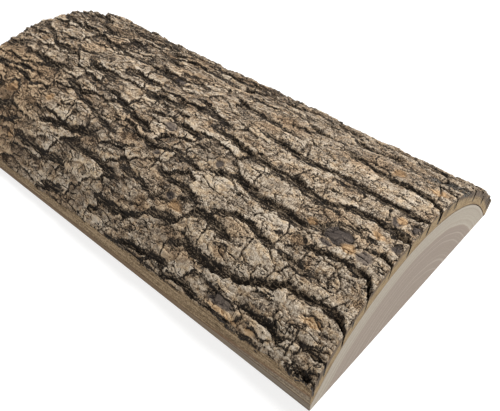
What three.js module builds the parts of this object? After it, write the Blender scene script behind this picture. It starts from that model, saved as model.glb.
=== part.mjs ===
// A bark-on ash board: the outer slab of a log, flat sawn below and domed with furrowed bark above.
// Millimetres, +Z up. X runs along the log, Y across it, and the origin is under the middle of the board.
// The wood is a lens under a round boundary, and the bark is a bent slab that lies over it.

import * as THREE from 'three';

// Driving dimensions
const LENGTH = 356;
const WIDTH = 203;
const BARK_RADIUS = 133;
const BARK_THICKNESS = 11.8;
const LOG_CENTRE = { y: -6.9, z: -65.7 };
const CAMBIUM_GAP = 0.3;
const FAR_FACE_LEAN = 3.9;

// The near flank hangs lower than the round log, and more so towards the far end
const BARK_FLANK_DROP = { shownEnd: 1, farEnd: 19, reach: 26 };
const WOOD_FLANK_DROP = { shownEnd: 4.5, farEnd: 8, reach: 20 };

// Bark relief: a furrow's wall runs from floor to rim, both in half widths from its middle line
const FURROW_DEPTH_PER_WIDTH = 1.4;
const DEEPEST_FURROW = 8.2;
const FURROW_WALL = { floor: 0.2, rim: 1.15 };
const FURROW_END = { taper: 9, narrowing: 0.5 };
const SHOULDER = { depth: 1.1, reach: 5 };
const PLATE_RELIEF = { depth: 2.2, along: 26, across: 13 };
const SCALE_RELIEF = { depth: 1.2, along: 9, across: 6 };
const PLATE_TOPS = 1.1;

// Mesh fineness, and how far a column may move onto a furrow, in column spacings
const BARK_ROWS = 62;
const BARK_COLUMNS = 84;
const WOOD_COLUMNS = 48;
const COLUMN_SHIFT = 0.42;

// Furrows: [widest width, [distance from the shown end, arc length from the crown line], ...], all in mm.
// The arc is negative towards the near long side. Each runs along the log and never turns back.
const FURROWS = [
  [4, [0, -103], [8, -102], [18, -99]],
  [3, [0, -92], [8, -91], [19, -91]],
  [5, [20, -92], [29, -96], [35, -93], [51, -91.5], [63, -93.5]],
  [3.5, [18, -85], [29, -87.5]],
  [6, [0, -74], [7, -69.5], [21, -70], [40, -71.5], [47, -76], [55, -78], [63, -82], [83, -84], [101, -83.5],
    [109, -81.5], [122, -87]],
  [4.5, [28, -59], [37, -60], [50, -59.5], [58, -58.5]],
  [5.5, [56, -59], [67, -56.5], [78, -54], [90, -54], [98, -56.5], [107, -60.5]],
  [5, [0, -53], [6, -45], [17, -45], [30, -45.5], [39, -47], [51, -50]],
  [5, [0, -32], [7, -30], [15, -31]],
  [4, [12, -25.5], [23, -26.5], [31, -24.5], [39, -27], [44, -33.5], [52, -37]],
  [6.5, [44, -36], [62, -38], [78, -38.5], [87, -37.5], [98, -35], [110, -34], [120, -36.5], [129, -42]],
  [6.5, [0, -14.5], [20, -12.5], [34, -13.5], [46, -16], [54, -19], [75, -17], [100, -15.5], [124, -14],
    [134, -10.5], [153, -10.5]],
  [3, [40, -21], [57, -21.5], [71, -20]],
  [5.5, [0, 4.5], [20, 3.5], [39, 3], [62, 4.5], [75, 3], [98, 3.5], [110, 5.5], [123, 6]],
  [3.5, [37, -1], [50, -1.5], [63, -1]],
  [6, [0, 18], [10, 23], [40, 24], [60, 28], [75, 30]],
  [4, [0, 39], [6, 41], [14, 43], [21, 47]],
  [6, [43, 57], [51, 52], [60, 50], [70, 48], [81, 51]],
  [4.5, [62, 59], [78, 56], [95, 55], [110, 58]],
  [6, [76, 38], [92, 36], [100, 36], [107, 40], [114, 43.5], [131, 46]],
  [5, [98, 19], [110, 18], [120, 21], [142, 22], [153, 23], [164, 28]],
  [5.5, [78, -69], [91, -66], [100, -64.5], [110, -64.5], [117, -67.5], [122, -76], [134, -77], [143, -77.5],
    [148, -84], [157, -87], [173, -89], [181, -87.5], [192, -89]],
  [5, [114, -60], [122, -58.5], [135, -57], [146, -56.5], [157, -55]],
  [4.5, [126, -43.5], [134, -43.5], [141, -40], [154, -40], [165, -43.5], [172, -46.5], [182, -41]],
  [5, [110, -98], [121, -96.5], [135, -100], [149, -101], [158, -102]],
  [5, [132, -22], [140, -25], [147, -26.5]],
  [5.5, [146, -23], [159, -22], [169, -21], [178, -18.5], [184, -22.5], [199, -24.5]],
  [4.5, [136, -4], [147, -3], [154, -1], [161, 1.5], [169, 4], [181, 6.5]],
  [4, [147, -4.5], [162, -2.5], [173, -3]],
  [3.5, [143, -73], [152, -70], [159, -67.5], [169, -66], [183, -65.5]],
  [4, [141, 37], [148, 38], [159, 40]],
  [5.5, [163, 46], [170, 49], [177, 52]],
  [4.5, [175, -74.5], [189, -72.5], [211, -71], [222, -72], [237, -72.5]],
  [6, [177, -8], [190, -9.5], [199, -9], [204, -12], [210, -10.5], [218, -7.5]],
  [3.5, [179, -51], [188, -54.5], [199, -56]],
  [5, [178, -39], [192, -35], [201, -34], [210, -31.5], [219, -29], [228, -26.5], [241, -26.5]],
  [5.5, [190, 13.5], [201, 10], [211, 11.5], [232, 13.5], [249, 16.5], [258, 13], [272, 15.5], [292, 16.5],
    [301, 16.5]],
  [4, [195, 28], [203, 26], [210, 23]],
  [4.5, [200, -51], [211, -49.5], [219, -48.5], [229, -45.5], [238, -42.5], [252, -40.5], [260, -37],
    [277, -34]],
  [5.5, [211, -50], [217, -57], [224, -61], [234, -63], [244, -65], [255, -66], [263, -68.5], [273, -70]],
  [4.5, [213, -3], [222, -1], [238, -3.5], [246, -4]],
  [5.5, [215, -97.5], [228, -98.5], [244, -101]],
  [6, [217, 39], [229, 32], [238, 35.5], [251, 36]],
  [4.5, [223, -88], [232, -84], [240, -84.5], [247, -86.5], [264, -85], [273, -86.5], [285, -85]],
  [7, [239, -17], [249, -14], [265, -14], [278, -11]],
  [5.5, [250, 29], [264, 31], [271, 33.5], [293, 35]],
  [5, [275, -26], [286, -26.5], [293, -29.5], [301, -31], [321, -30]],
  [4.5, [276, -3], [286, -6], [295, -6], [302, -3]],
  [4, [285, -76], [296, -79], [305, -82]],
  [3.5, [288, -48], [299, -52], [309, -49.5], [319, -48.5]],
  [5, [292, -9], [299, -13], [309, -13], [318, -11.5], [326, -8], [334, -4], [341, -2], [348, 1.5], [356, 2]],
  [5.5, [294, 33], [303, 28.5], [311, 32], [320, 36], [328, 46], [339, 53], [356, 58]],
  [5, [300, -98], [322, -95], [340, -97], [356, -96]],
  [4, [301, -68], [311, -73.5], [318, -79], [330, -82], [356, -84]],
  [4, [304, -43], [322, -45], [332, -47], [341, -49.5], [356, -52]],
  [5.5, [311, 16], [321, 17], [333, 18], [341, 20], [356, 23]],
  [4, [322, -64], [336, -66], [356, -68]],
  [4, [337, -20], [344, -26.5], [350, -31.5], [356, -34.5]],
  [5, [0, 70.5], [14, 72], [32, 69], [50, 72], [66, 76], [81, 75]],
  [5, [76, 68], [94, 66], [112, 70], [132, 67], [150, 71], [161, 74]],
  [5.5, [0, 96], [18, 94], [36, 89], [58, 88], [78, 91], [98, 88], [117, 84]],
  [5, [103, 94], [124, 92], [144, 88], [164, 86], [184, 89], [201, 87]],
  [5, [0, 120], [20, 117], [42, 111], [60, 108], [82, 110], [104, 106], [123, 108]],
  [5, [117, 116], [140, 110], [160, 106], [182, 108], [204, 104], [225, 106]],
  [5, [149, 60], [168, 62], [188, 58], [206, 61], [226, 66], [241, 66]],
  [4.5, [175, 44], [190, 47], [204, 45], [215, 48]],
  [5, [195, 74], [214, 77], [234, 80], [252, 78], [270, 82], [289, 80]],
  [5, [211, 93], [232, 95], [252, 92], [272, 96], [296, 98], [317, 95]],
  [5, [221, 116], [244, 112], [264, 110], [288, 114], [310, 111], [334, 108], [356, 110]],
  [5, [245, 56], [262, 53], [280, 50], [296, 52], [309, 58]],
  [5, [291, 66], [310, 70], [330, 72], [356, 70]],
  [5, [299, 86], [318, 84], [336, 88], [356, 90]],
];

const INNER_RADIUS = BARK_RADIUS - BARK_THICKNESS;
const SHOWN_END_X = LENGTH / 2;
const NEAR_FACE_Y = -WIDTH / 2;
const FAR_CORNER_Y = WIDTH / 2;

// Number helpers
function mix(a, b, share) {
  return a + (b - a) * share;
}

function smoothStep(from, to, value) {
  const share = THREE.MathUtils.clamp((value - from) / (to - from), 0, 1);
  return share * share * (3 - 2 * share);
}

// Smooth random relief, from 0 to 1, on a lattice of unit cells
function latticeValue(column, row) {
  const value = Math.sin(column * 127.1 + row * 311.7) * 43758.5453;
  return value - Math.floor(value);
}

function smoothNoise(u, v) {
  const column = Math.floor(u);
  const row = Math.floor(v);
  const across = smoothStep(0, 1, u - column);
  const up = smoothStep(0, 1, v - row);
  const low = mix(latticeValue(column, row), latticeValue(column + 1, row), across);
  const high = mix(latticeValue(column, row + 1), latticeValue(column + 1, row + 1), across);
  return mix(low, high, up);
}

// The log's cross-section
function angleAt(radius, y) {
  return Math.asin((y - LOG_CENTRE.y) / radius);
}

const BARK_ANGLES = { near: angleAt(BARK_RADIUS, NEAR_FACE_Y), far: angleAt(BARK_RADIUS, FAR_CORNER_Y) };
const BARK_ARC = {
  from: BARK_RADIUS * BARK_ANGLES.near,
  span: BARK_RADIUS * (BARK_ANGLES.far - BARK_ANGLES.near),
};

function flankDrop(drop, x, arcFromNearFace) {
  const atThisX = mix(drop.shownEnd, drop.farEnd, (SHOWN_END_X - x) / LENGTH);
  return atThisX * Math.exp(-((arcFromNearFace / drop.reach) ** 2));
}

function pointOnLog(radius, angle, x, drop, nearAngle) {
  const z = LOG_CENTRE.z + radius * Math.cos(angle);
  const sag = flankDrop(drop, x, radius * (angle - nearAngle));
  return new THREE.Vector3(x, LOG_CENTRE.y + radius * Math.sin(angle), z - sag);
}

// Round boundary between wood and bark, from the near face (share 0) to the edge of the underside (share 1)
function boundaryPoint(radius, share, x) {
  const near = angleAt(radius, NEAR_FACE_Y);
  const far = Math.acos(-LOG_CENTRE.z / radius);
  return pointOnLog(radius, mix(near, far, share), x, WOOD_FLANK_DROP, near);
}

// Furrow relief
function furrowsAt(along) {
  const found = [];
  for (const [width, ...path] of FURROWS) {
    const start = path[0][0];
    const end = path[path.length - 1][0];
    if (along < start || along > end) continue;
    const next = Math.max(1, path.findIndex(([reached]) => reached >= along));
    const [a, b] = [path[next - 1], path[next]];
    const opens = start <= 0 ? 1 : smoothStep(0, FURROW_END.taper, along - start);
    const closes = end >= LENGTH ? 1 : smoothStep(0, FURROW_END.taper, end - along);
    const taper = Math.min(opens, closes);
    found.push({
      arc: mix(a[1], b[1], (along - a[0]) / (b[0] - a[0])),
      halfWidth: (width / 2) * mix(FURROW_END.narrowing, 1, taper),
      depth: Math.min(DEEPEST_FURROW, width * FURROW_DEPTH_PER_WIDTH) * taper,
    });
  }
  return found;
}

function furrowDepth(furrows, arc) {
  let deepest = 0;
  for (const furrow of furrows) {
    const distance = Math.abs(arc - furrow.arc);
    const wall = 1 - smoothStep(FURROW_WALL.floor, FURROW_WALL.rim, distance / furrow.halfWidth);
    const shoulder = SHOULDER.depth * (1 - smoothStep(0, SHOULDER.reach, distance - furrow.halfWidth));
    deepest = Math.max(deepest, mix(shoulder, furrow.depth, wall));
  }
  return deepest;
}

function barkDepth(furrows, along, arc) {
  const plates = PLATE_RELIEF.depth * smoothNoise(along / PLATE_RELIEF.along, arc / PLATE_RELIEF.across);
  const scales = SCALE_RELIEF.depth * smoothNoise(along / SCALE_RELIEF.along, arc / SCALE_RELIEF.across);
  const relief = Math.max(0, plates + scales - PLATE_TOPS);
  return Math.min(DEEPEST_FURROW, relief + furrowDepth(furrows, arc));
}

// Columns lie evenly across, and the one nearest to a furrow moves onto its middle line
function columnArcs(furrows) {
  const step = BARK_ARC.span / BARK_COLUMNS;
  const arcs = [];
  for (let column = 0; column <= BARK_COLUMNS; column += 1) {
    const even = BARK_ARC.from + step * column;
    const inside = column > 1 && column < BARK_COLUMNS - 1;
    const furrow = furrows.find(({ arc }) => inside && Math.abs(arc - even) < step * COLUMN_SHIFT);
    arcs.push(furrow ? furrow.arc : even);
  }
  return arcs;
}

// Solids are gathered as points and triangles
class Solid {
  constructor() {
    this.points = [];
    this.triangles = [];
  }

  add(point) {
    this.points.push(point);
    return this.points.length - 1;
  }

  triangle(a, b, c) {
    this.triangles.push(a, b, c);
  }

  // Splits the four-sided face a, b, c, d along its flatter diagonal
  quad(a, b, c, d) {
    const height = (index) => this.points[index].z;
    if (Math.abs(height(a) - height(c)) <= Math.abs(height(b) - height(d))) {
      this.triangle(a, b, c);
      this.triangle(a, c, d);
    } else {
      this.triangle(a, b, d);
      this.triangle(b, c, d);
    }
  }

  // Joins two rows of points with four-sided faces
  strip(first, second) {
    for (let index = 0; index + 1 < first.length; index += 1) {
      this.quad(first[index], first[index + 1], second[index + 1], second[index]);
    }
  }

  // Joins a row of points to a segment, in two fans
  fan(row, start, end) {
    const middle = Math.floor(row.length / 2);
    for (let index = 0; index + 1 < row.length; index += 1) {
      this.triangle(row[index], row[index + 1], index < middle ? start : end);
    }
    this.triangle(row[middle], end, start);
  }

  geometry() {
    const geometry = new THREE.BufferGeometry();
    geometry.setFromPoints(this.points);
    geometry.setIndex(this.triangles);
    geometry.computeVertexNormals();
    return geometry;
  }
}

// Bark: a grid of points over the outside, and the round boundary to the wood within
function barkGeometry() {
  const solid = new Solid();
  const innerRadius = INNER_RADIUS + CAMBIUM_GAP;
  const lastColumn = BARK_COLUMNS;
  const footY = FAR_CORNER_Y - FAR_FACE_LEAN;

  function innerPoint(arc, column, x) {
    if (column === lastColumn) return new THREE.Vector3(x, footY, 0);
    const share = ((arc - BARK_ARC.from) / BARK_ARC.span) * (lastColumn / (lastColumn - 1));
    return boundaryPoint(innerRadius, share, x);
  }

  function outerPoint(arc, inner, x, depth) {
    const top = pointOnLog(BARK_RADIUS, arc / BARK_RADIUS, x, BARK_FLANK_DROP, BARK_ANGLES.near);
    return top.lerp(inner, depth / (BARK_RADIUS - innerRadius));
  }

  const outer = [];
  const nearFoot = [];
  const farFoot = [];
  const ends = [];
  for (let row = 0; row <= BARK_ROWS; row += 1) {
    const along = (LENGTH * row) / BARK_ROWS;
    const x = SHOWN_END_X - along;
    const furrows = furrowsAt(along);
    const arcs = columnArcs(furrows);
    const inner = arcs.map((arc, column) => innerPoint(arc, column, x));
    outer.push(arcs.map((arc, column) => (
      solid.add(outerPoint(arc, inner[column], x, barkDepth(furrows, along, arc)))
    )));
    nearFoot.push(solid.add(inner[0]));
    farFoot.push(solid.add(inner[lastColumn]));
    if (row === 0 || row === BARK_ROWS) {
      const between = inner.slice(1, lastColumn).map((point) => solid.add(point));
      ends.push([nearFoot[row], ...between, farFoot[row]]);
    }
  }

  for (let row = 0; row < BARK_ROWS; row += 1) {
    solid.strip(outer[row], outer[row + 1]);
  }
  const [shownEnd, farEnd] = ends;
  solid.strip(shownEnd, outer[0]);
  solid.strip(outer[BARK_ROWS], farEnd);
  solid.strip(outer.map((points) => points[0]), nearFoot);
  solid.strip(farFoot, outer.map((points) => points[lastColumn]));
  solid.strip(farEnd.slice(1, lastColumn), shownEnd.slice(1, lastColumn));
  solid.fan(nearFoot, shownEnd[1], farEnd[1]);
  solid.fan([...farFoot].reverse(), farEnd[lastColumn - 1], shownEnd[lastColumn - 1]);
  return solid.geometry();
}

// Wood: one section at each end, joined by straight lines
function woodGeometry() {
  const solid = new Solid();
  const [shownEnd, farEnd] = [SHOWN_END_X, -SHOWN_END_X].map((x) => {
    const section = [solid.add(new THREE.Vector3(x, NEAR_FACE_Y, 0))];
    for (let column = 0; column <= WOOD_COLUMNS; column += 1) {
      section.push(solid.add(boundaryPoint(INNER_RADIUS, column / WOOD_COLUMNS, x)));
    }
    return section;
  });
  solid.strip([...shownEnd, shownEnd[0]], [...farEnd, farEnd[0]]);
  for (let index = 1; index + 1 < shownEnd.length; index += 1) {
    solid.triangle(shownEnd[0], shownEnd[index + 1], shownEnd[index]);
    solid.triangle(farEnd[0], farEnd[index], farEnd[index + 1]);
  }
  return solid.geometry();
}

// Materials
const woodMaterial = new THREE.MeshStandardMaterial({ color: '#a99b89', roughness: 0.75, metalness: 0 });
const barkMaterial = new THREE.MeshStandardMaterial({ color: '#7b6d5d', roughness: 0.95, metalness: 0 });

const wood = new THREE.Mesh(woodGeometry(), woodMaterial);
wood.name = 'wood';

const bark = new THREE.Mesh(barkGeometry(), barkMaterial);
bark.name = 'bark';

const board = new THREE.Group();
board.add(wood, bark);

export default board;
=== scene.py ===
# A bark-on ash board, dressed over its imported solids: fine bark relief, sawn bark faces and sawn wood.
# Blender works in metres in the row frame: +X towards the shown end, +Y to the far long side, +Z up.
# The bark is worked out in mm as if unrolled. "along" runs back from the shown end, and "arc" runs
# across from the crown line, negative towards the near long side.

import math

import bpy
import numpy as np
from mathutils import Matrix, Vector


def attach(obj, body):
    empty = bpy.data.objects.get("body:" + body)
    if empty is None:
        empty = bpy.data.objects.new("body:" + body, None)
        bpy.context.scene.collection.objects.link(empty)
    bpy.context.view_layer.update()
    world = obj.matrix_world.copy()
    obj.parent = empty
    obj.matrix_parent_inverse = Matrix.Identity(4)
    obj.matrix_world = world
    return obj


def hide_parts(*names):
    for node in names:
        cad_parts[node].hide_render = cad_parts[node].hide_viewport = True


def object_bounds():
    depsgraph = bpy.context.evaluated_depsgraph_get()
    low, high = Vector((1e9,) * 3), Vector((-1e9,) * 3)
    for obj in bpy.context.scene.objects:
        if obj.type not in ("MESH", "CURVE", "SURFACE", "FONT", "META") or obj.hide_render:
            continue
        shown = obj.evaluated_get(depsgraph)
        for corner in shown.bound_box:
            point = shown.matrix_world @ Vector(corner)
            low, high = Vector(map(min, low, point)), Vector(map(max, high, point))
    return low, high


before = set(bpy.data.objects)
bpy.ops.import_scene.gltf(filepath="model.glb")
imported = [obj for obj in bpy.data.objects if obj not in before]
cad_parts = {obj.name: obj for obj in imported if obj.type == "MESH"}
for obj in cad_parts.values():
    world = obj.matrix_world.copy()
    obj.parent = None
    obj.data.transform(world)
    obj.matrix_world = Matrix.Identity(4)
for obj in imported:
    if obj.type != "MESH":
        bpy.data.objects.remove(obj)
cad_box = [list(corner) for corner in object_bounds()]

MM = 0.001
low, high = (np.array(corner) / MM for corner in cad_box)
LENGTH = high[0] - low[0]
NEAR_FACE_Y = low[1]
FAR_CORNER_Y = high[1]

# The log, as in the part's source
BARK_RADIUS = 133.0
BARK_THICKNESS = 11.8
LOG_CENTRE = {"y": -6.9, "z": -65.7}
CAMBIUM_GAP = 0.3
FAR_FACE_LEAN = 3.9
BARK_FLANK_DROP = {"shown_end": 1.0, "far_end": 19.0, "reach": 26.0}
WOOD_FLANK_DROP = {"shown_end": 4.5, "far_end": 8.0, "reach": 20.0}
WOOD_RADIUS = BARK_RADIUS - BARK_THICKNESS
INNER_RADIUS = WOOD_RADIUS + CAMBIUM_GAP
THINNEST_BARK = 1.6

# The browner middle of the wood, under a rounder crown
HEART_RADIUS = 99.0
HEART_CENTRE_Z = -55.6
WOOD_EDGE_EASE = 0.35

# How furrows are cut. Away from the shown end they are filled to a share of their depth.
FURROW_DEPTH_PER_WIDTH = 1.4
FURROW_HALF_SHARE = 0.43
DEEPEST_FURROW = 8.2
FURROW_TAPER = 9.0
FURROW_FILL = 0.48
HOLLOW_DEPTH = 7.6

# Furrows, as in the part's source: [widest width, along, arc, along, arc, ...] in mm
FURROWS = [
    [4, 0, -103, 8, -102, 18, -99], [3, 0, -92, 8, -91, 19, -91],
    [5, 20, -92, 29, -96, 35, -93, 51, -91.5, 63, -93.5], [3.5, 18, -85, 29, -87.5],
    [6, 0, -74, 7, -69.5, 21, -70, 40, -71.5, 47, -76, 55, -78, 63, -82, 83, -84, 101, -83.5, 109, -81.5,
     122, -87],
    [4.5, 28, -59, 37, -60, 50, -59.5, 58, -58.5],
    [5.5, 56, -59, 67, -56.5, 78, -54, 90, -54, 98, -56.5, 107, -60.5],
    [5, 0, -53, 6, -45, 17, -45, 30, -45.5, 39, -47, 51, -50], [5, 0, -32, 7, -30, 15, -31],
    [4, 12, -25.5, 23, -26.5, 31, -24.5, 39, -27, 44, -33.5, 52, -37],
    [6.5, 44, -36, 62, -38, 78, -38.5, 87, -37.5, 98, -35, 110, -34, 120, -36.5, 129, -42],
    [6.5, 0, -14.5, 20, -12.5, 34, -13.5, 46, -16, 54, -19, 75, -17, 100, -15.5, 124, -14, 134, -10.5, 153,
     -10.5],
    [3, 40, -21, 57, -21.5, 71, -20],
    [5.5, 0, 4.5, 20, 3.5, 39, 3, 62, 4.5, 75, 3, 98, 3.5, 110, 5.5, 123, 6],
    [3.5, 37, -1, 50, -1.5, 63, -1], [6, 0, 18, 10, 23, 40, 24, 60, 28, 75, 30],
    [4, 0, 39, 6, 41, 14, 43, 21, 47], [6, 43, 57, 51, 52, 60, 50, 70, 48, 81, 51],
    [4.5, 62, 59, 78, 56, 95, 55, 110, 58], [6, 76, 38, 92, 36, 100, 36, 107, 40, 114, 43.5, 131, 46],
    [5, 98, 19, 110, 18, 120, 21, 142, 22, 153, 23, 164, 28],
    [5.5, 78, -69, 91, -66, 100, -64.5, 110, -64.5, 117, -67.5, 122, -76, 134, -77, 143, -77.5, 148, -84,
     157, -87, 173, -89, 181, -87.5, 192, -89],
    [5, 114, -60, 122, -58.5, 135, -57, 146, -56.5, 157, -55],
    [4.5, 126, -43.5, 134, -43.5, 141, -40, 154, -40, 165, -43.5, 172, -46.5, 182, -41],
    [5, 110, -98, 121, -96.5, 135, -100, 149, -101, 158, -102], [5, 132, -22, 140, -25, 147, -26.5],
    [5.5, 146, -23, 159, -22, 169, -21, 178, -18.5, 184, -22.5, 199, -24.5],
    [4.5, 136, -4, 147, -3, 154, -1, 161, 1.5, 169, 4, 181, 6.5], [4, 147, -4.5, 162, -2.5, 173, -3],
    [3.5, 143, -73, 152, -70, 159, -67.5, 169, -66, 183, -65.5], [4, 141, 37, 148, 38, 159, 40],
    [5.5, 163, 46, 170, 49, 177, 52], [4.5, 175, -74.5, 189, -72.5, 211, -71, 222, -72, 237, -72.5],
    [6, 177, -8, 190, -9.5, 199, -9, 204, -12, 210, -10.5, 218, -7.5],
    [3.5, 179, -51, 188, -54.5, 199, -56],
    [5, 178, -39, 192, -35, 201, -34, 210, -31.5, 219, -29, 228, -26.5, 241, -26.5],
    [5.5, 190, 13.5, 201, 10, 211, 11.5, 232, 13.5, 249, 16.5, 258, 13, 272, 15.5, 292, 16.5, 301, 16.5],
    [4, 195, 28, 203, 26, 210, 23],
    [4.5, 200, -51, 211, -49.5, 219, -48.5, 229, -45.5, 238, -42.5, 252, -40.5, 260, -37, 277, -34],
    [5.5, 211, -50, 217, -57, 224, -61, 234, -63, 244, -65, 255, -66, 263, -68.5, 273, -70],
    [4.5, 213, -3, 222, -1, 238, -3.5, 246, -4], [5.5, 215, -97.5, 228, -98.5, 244, -101],
    [6, 217, 39, 229, 32, 238, 35.5, 251, 36],
    [4.5, 223, -88, 232, -84, 240, -84.5, 247, -86.5, 264, -85, 273, -86.5, 285, -85],
    [7, 239, -17, 249, -14, 265, -14, 278, -11], [5.5, 250, 29, 264, 31, 271, 33.5, 293, 35],
    [5, 275, -26, 286, -26.5, 293, -29.5, 301, -31, 321, -30], [4.5, 276, -3, 286, -6, 295, -6, 302, -3],
    [4, 285, -76, 296, -79, 305, -82], [3.5, 288, -48, 299, -52, 309, -49.5, 319, -48.5],
    [5, 292, -9, 299, -13, 309, -13, 318, -11.5, 326, -8, 334, -4, 341, -2, 348, 1.5, 356, 2],
    [5.5, 294, 33, 303, 28.5, 311, 32, 320, 36, 328, 46, 339, 53, 356, 58],
    [5, 300, -98, 322, -95, 340, -97, 356, -96], [4, 301, -68, 311, -73.5, 318, -79, 330, -82, 356, -84],
    [4, 304, -43, 322, -45, 332, -47, 341, -49.5, 356, -52],
    [5.5, 311, 16, 321, 17, 333, 18, 341, 20, 356, 23], [4, 322, -64, 336, -66, 356, -68],
    [4, 337, -20, 344, -26.5, 350, -31.5, 356, -34.5], [5, 0, 70.5, 14, 72, 32, 69, 50, 72, 66, 76, 81, 75],
    [5, 76, 68, 94, 66, 112, 70, 132, 67, 150, 71, 161, 74],
    [5.5, 0, 96, 18, 94, 36, 89, 58, 88, 78, 91, 98, 88, 117, 84],
    [5, 103, 94, 124, 92, 144, 88, 164, 86, 184, 89, 201, 87],
    [5, 0, 120, 20, 117, 42, 111, 60, 108, 82, 110, 104, 106, 123, 108],
    [5, 117, 116, 140, 110, 160, 106, 182, 108, 204, 104, 225, 106],
    [5, 149, 60, 168, 62, 188, 58, 206, 61, 226, 66, 241, 66], [4.5, 175, 44, 190, 47, 204, 45, 215, 48],
    [5, 195, 74, 214, 77, 234, 80, 252, 78, 270, 82, 289, 80],
    [5, 211, 93, 232, 95, 252, 92, 272, 96, 296, 98, 317, 95],
    [5, 221, 116, 244, 112, 264, 110, 288, 114, 310, 111, 334, 108, 356, 110],
    [5, 245, 56, 262, 53, 280, 50, 296, 52, 309, 58], [5, 291, 66, 310, 70, 330, 72, 356, 70],
    [5, 299, 86, 318, 84, 336, 88, 356, 90],
]

# Dark gaps along the top of the near side's sawn band, in the same form
EDGE_GAPS = [
    [2.5, 36, -104.2, 52, -104, 66, -103.8, 84, -103.4],
    [5, 80, -103.2, 92, -101.6, 100, -100.8, 108, -102, 118, -104],
    [2, 110, -104.6, 130, -104.4, 152, -104.6, 170, -104.4],
]

# Cracks across the plates: [along, arc, along, arc, ...]
CROSS_CRACKS = [
    [41, -27, 43, -32, 42, -37], [60, -38, 59, -46, 60, -53, 59, -60], [20, 0, 21, -5, 20, -9],
    [178, -9, 179, -15, 178, -23], [180, -2, 181, -6, 180, -10], [200, -9, 201, -13, 200, -18],
    [70, -2, 71, -7, 66, -10], [76, -3, 78, -8, 79, -12], [100, -66, 101, -75, 99, -83],
    [147, -26, 149, -33, 148, -39], [158, -26, 157, -34, 158, -40], [161, -44, 160, -51, 161, -58],
    [131, -1, 132, 6, 131, 14], [20, -47, 21, -54, 20, -60], [20, -87, 19, -94, 21, -101],
    [41, -46, 42, -53, 41, -60], [8, -60, 12, -66, 16, -70], [44, -62, 49, -68, 54, -75],
    [96, -25, 95, -31, 93, -35], [72, -60, 73, -68, 72, -77], [122, -88, 123, -94, 121, -100],
    [226, 1, 228, 8, 227, 15], [248, -42, 250, -50, 247, -60], [224, -47, 227, -55, 226, -62],
    [283, -34, 281, -44, 284, -52], [315, -12, 317, -20, 314, -29], [262, 15, 264, 22, 261, 30],
    [300, 17, 303, 25, 301, 33], [86, 5, 87, 11, 92, 17], [10, 24, 9, 31, 11, 40], [52, 30, 54, 38, 51, 49],
]

# Where a scale broke away: [along, arc, half length, half width, depth, stain]
SCARS = [
    [14, -37, 6, 5, 0.3, "purple"], [32.5, -33.5, 9.5, 5.4, 0.9, "purple"],
    [37, -41, 5, 2.2, 0.2, "purple"], [24.5, -36.8, 5.4, 3.4, 0.5, "ochre"],
    [14, -6, 5, 3.6, 0.5, "purple"], [3, -5, 4, 4, 0.6, "purple"], [12, -4, 4.6, 2.6, 0.3, "ochre"],
    [3.5, -23, 3.8, 3.4, 0.6, "purple"], [16, -21, 5, 2.8, 0.3, "ochre"], [50, -34, 5, 2.8, 0.4, "ochre"],
    [51, -47, 6.4, 4.4, 0.6, "brown"], [37, -57, 2.6, 6, 0.3, "brown"], [3, -59, 3.4, 3, 0.4, "brown"],
    [17, -79, 7, 3.2, 0.6, "ochre"], [86, -75.5, 5.8, 4.6, 0.6, "brown"], [69, -97, 12.5, 4, 0.7, "purple"],
    [65, -101.4, 12, 2.4, 0.3, "ochre"], [46, -101, 5, 2, 0.3, "ochre"],
    [135, -65, 3.8, 2.6, 0.5, "purple"], [128, -68, 6.5, 3.8, 0.4, "ochre"],
    [123, -32, 3.4, 3.4, 0.5, "purple"], [164, -48, 3.4, 2.6, 0.5, "purple"],
    [191, -47, 8, 5.4, 0.6, "brown"], [172, -27, 6.5, 3.6, 0.5, "purple"], [272, -54, 5, 4.4, 0.5, "ochre"],
    [291, -87, 4.2, 3.2, 0.4, "ochre"], [311, -61, 7, 7, 0.6, "ochre"], [330, -13, 6, 3.6, 0.5, "brown"],
    [344, -75, 8, 6, 0.5, "ochre"], [285, -63, 7, 5, 0.4, "brown"], [10, 33, 6, 4, 0.3, "ochre"],
    [36, 33, 5, 4, 0.3, "ochre"], [150, -78, 8, 5, 0.3, "brown"], [243, 42, 8, 6, 0.5, "brown"],
    [205, 14, 6, 5, 0.8, "purple"], [120, 30, 9, 6, 0.4, "brown"],
]

# Whitish weathered places: [along, arc, half length, half width]
PALE_PATCHES = [
    [248, -74.5, 9, 6], [214, -80.5, 6, 5], [209, -93, 9, 4], [250, -94.5, 11, 5], [127, -88.5, 8, 6],
    [95, -26, 8, 6], [55, -10, 16, 6], [100, -4, 16, 6], [165, -12, 12, 5], [68, -46, 9, 6],
    [95, -76, 8, 5], [12, -88, 8, 6], [35, -80, 10, 5], [66, 47, 16, 4], [30, 14, 22, 6], [125, -50, 14, 5],
    [235, -57, 14, 5],
]

# Black hollows beside the crown, in the same form
HOLLOWS = [
    [49, 56, 6, 3.2], [58, 51, 5, 2.6], [169, 48, 4, 5],
]

# The smooth weathered groove on the far side of the crown, and a dark scaly patch at the near corner,
# on the bark and on its sawn side
WEATHERED = [8, 54, 20, 8]
WEATHERED_GROOVE = 2.0
SCAB = [11, -103.5, 11, 3.4]
SIDE_SCAB = [12.5, 21.5, 10, 5]

# The far upper part has rounder, tangled plates
TANGLE = {"along": [165, 225], "arc": [-12, 18]}

# Mesh fineness
BARK_ROWS = 700
STRIP_COLUMNS = 116
STRIPS = ["near_flank", "near_top", "far_top", "far_flank"]
FACE_ROWS = 22
WOOD_ROWS = 60
WOOD_COLUMNS = 110
WOOD_LEVELS = 26

# Random cells on the bark, in mm, with the seed of their places
CHIP = {"length": 5.2, "width": 2.7, "seed": 83}
PLATE = {"length": 19, "width": 10, "reach": 12, "seed": 91}
FLAKE = {"length": 8.2, "width": 5.4, "seed": 102}

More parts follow.
